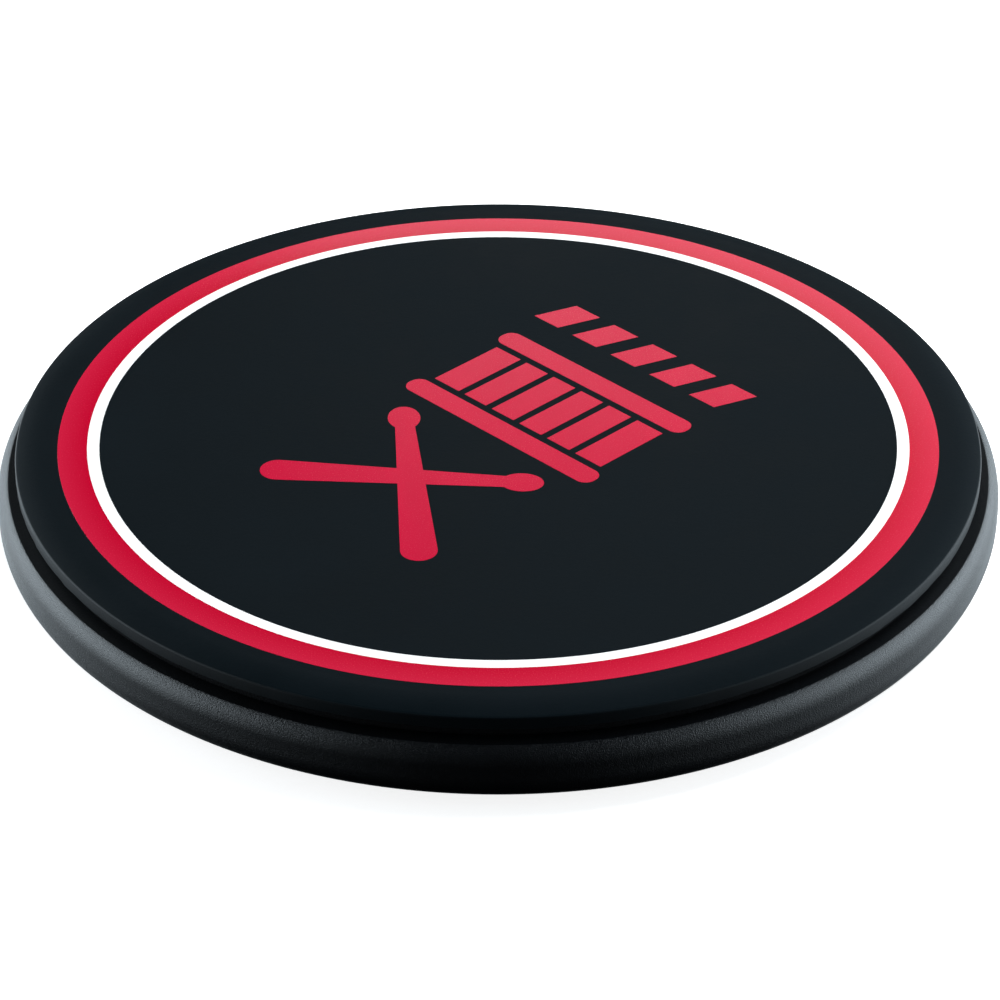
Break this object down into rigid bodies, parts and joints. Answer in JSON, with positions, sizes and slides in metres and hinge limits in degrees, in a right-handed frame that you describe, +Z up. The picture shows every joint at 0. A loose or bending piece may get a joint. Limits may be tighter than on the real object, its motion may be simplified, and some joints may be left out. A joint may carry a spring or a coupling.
{
  "type": "drum practice pad",
  "caption": "Round drum practice pad: rubber playing surface with printed rings on a foam layer and a lacquered round-edged board, grip sheet and threaded stand socket below.",
  "frame": {"origin": "centre of the underside, at the level that the pad stands on", "axes": "+Z up out of the playing surface, along the axis of the disc; the printed drum's upright direction lies at 224.5 degrees from +X towards +Y"},
  "size_m": [0.3048, 0.3048, 0.03],
  "materials": {
    "playing_rubber": "matte",
    "red_ink": "satin",
    "white_ink": "satin",
    "adhesive_film": "satin",
    "damping_foam": "matte",
    "black_lacquer": "satin",
    "zinc_steel": "satin",
    "grip_foam": "matte"
  },
  "bodies": {
    "root": {"playing_surface": "playing_rubber", "red_ring_print": "red_ink", "white_ring_print": "white_ink", "drum_motif_print": "red_ink", "accent_bars_print": "red_ink", "surface_adhesive": "adhesive_film", "damping_layer": "damping_foam", "damping_adhesive": "adhesive_film", "base_board": "black_lacquer", "stand_socket": "zinc_steel", "socket_screws": "zinc_steel", "grip_adhesive": "adhesive_film", "grip_sheet": "grip_foam"}
  },
  "joints": []
}
